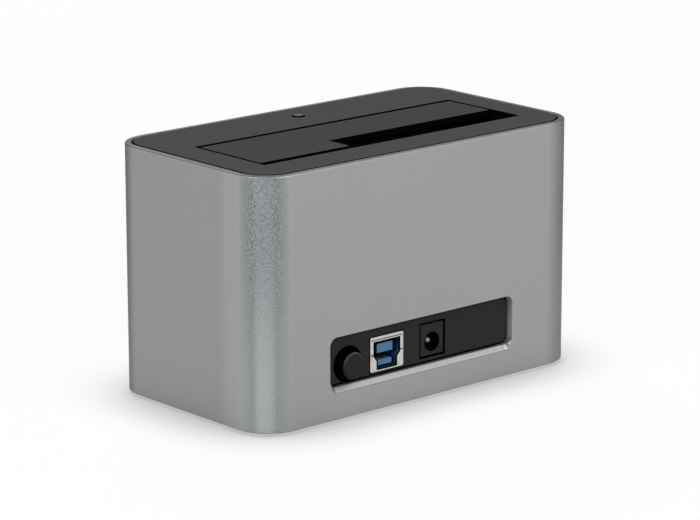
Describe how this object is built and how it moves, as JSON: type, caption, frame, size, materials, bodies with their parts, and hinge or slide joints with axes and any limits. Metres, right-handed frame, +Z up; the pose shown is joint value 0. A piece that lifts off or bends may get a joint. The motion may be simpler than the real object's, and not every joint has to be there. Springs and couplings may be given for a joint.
{
  "type": "hard drive docking station",
  "caption": "Upright drive dock: an aluminium tube body with a sprung L-shaped slot flap on top, and a power button, USB type B socket and power jack at the rear.",
  "frame": {"origin": "centre of the shell's footprint, on the surface that the feet stand on", "axes": "+X along the width, to the left as seen from the rear; +Y towards the rear with its ports; +Z up"},
  "size_m": [0.134, 0.0754, 0.0821],
  "materials": {
    "shell": "bead-blasted and anodised",
    "cover": "fine moulded grain",
    "guide": "plain moulded",
    "panel": "fine moulded grain",
    "black_moulding": "plain moulded",
    "button": "satin moulded",
    "plunger": "plain moulded",
    "port_blue": "moulded blue",
    "light": "clear, frosted head",
    "steel": "bright",
    "gold": "gold flash",
    "board": "solder mask",
    "component": "moulded",
    "rubber": "soft"
  },
  "bodies": {
    "base": {"aluminium_shell": "shell", "top_cover": "cover", "drive_guide": "guide", "base_cover": "guide", "rear_panel": "panel", "sata_housing": "black_moulding", "dc_jack_body": "black_moulding", "switch_body": "black_moulding", "usb_housing": "port_blue", "usb_tongues": "port_blue", "light_pipe": "light", "status_light": "light", "hinge_pin": "steel", "flap_spring": "steel", "guide_screws": "steel", "board_screws": "steel", "base_screws": "steel", "usb_shell": "steel", "dc_jack_pin": "steel", "dc_jack_leaf": "steel", "capacitors": "steel", "crystal": "steel", "sata_contacts": "gold", "usb_contacts": "gold", "main_board": "board", "bridge_chip": "component", "power_inductor": "component", "rubber_feet": "rubber"},
    "flap": {"slot_flap": "cover"},
    "button": {"power_button": "button", "switch_plunger": "plunger"}
  },
  "joints": [
    {"name": "flap_hinge", "type": "hinge", "parent": "base", "child": "flap", "pos_m": [0, -0.008, 0.07705], "axis": [-1, 0, 0], "range_deg": [0, 90], "stiffness_Nm_per_rad": 0.004, "springref_deg": -34.38, "deforming": ["flap_spring"]},
    {"name": "button_press", "type": "slide", "parent": "base", "child": "button", "axis": [0, -1, 0], "range_m": [0, 0.002], "stiffness_N_per_m": 600, "springref_m": -0.0015}
  ]
}
